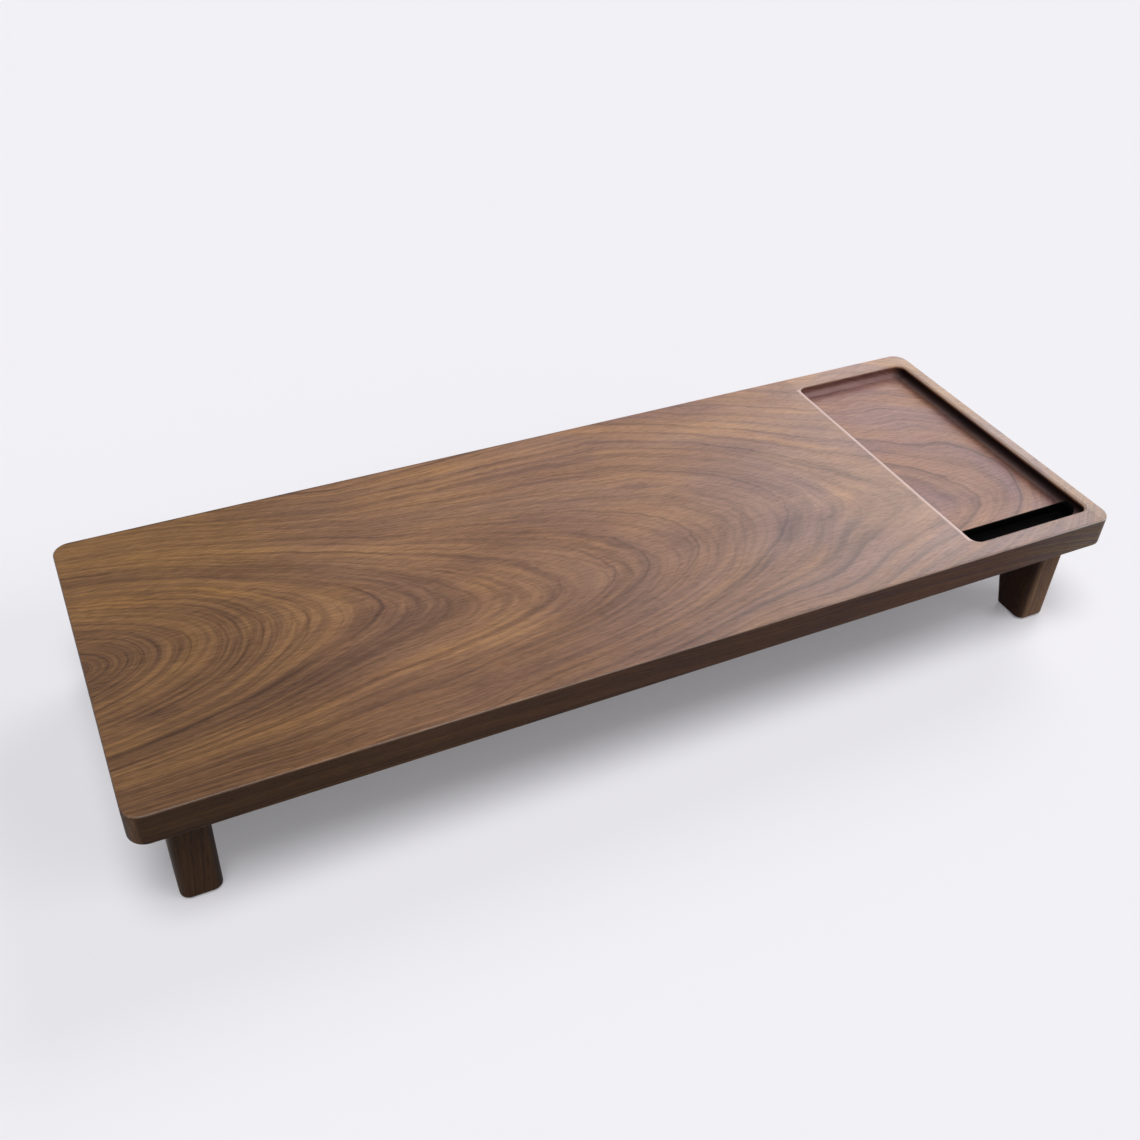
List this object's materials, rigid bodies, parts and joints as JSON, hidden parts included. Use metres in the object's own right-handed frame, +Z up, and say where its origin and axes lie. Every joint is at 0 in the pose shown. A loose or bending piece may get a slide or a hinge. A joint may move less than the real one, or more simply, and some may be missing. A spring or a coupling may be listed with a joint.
{
  "type": "monitor riser",
  "caption": "Low walnut desk riser: a solid board on tapered legs, with a milled tray at one end and a lined phone groove across its front.",
  "frame": {"origin": "centre of the base, on the surface that the pads rest on", "axes": "+X along the board towards the tray's end, +Y to the back, +Z up"},
  "size_m": [0.55, 0.2, 0.076],
  "materials": {
    "walnut": "oiled, satin",
    "beech": "bare",
    "pad_rubber": "matt",
    "liner_silicone": "matt"
  },
  "bodies": {
    "root": {"top_board": "walnut", "front_left_leg": "walnut", "front_right_leg": "walnut", "rear_left_leg": "walnut", "rear_right_leg": "walnut", "front_left_dowels": "beech", "front_right_dowels": "beech", "rear_left_dowels": "beech", "rear_right_dowels": "beech", "front_left_pad": "pad_rubber", "front_right_pad": "pad_rubber", "rear_left_pad": "pad_rubber", "rear_right_pad": "pad_rubber", "slot_liner": "liner_silicone"}
  },
  "joints": []
}
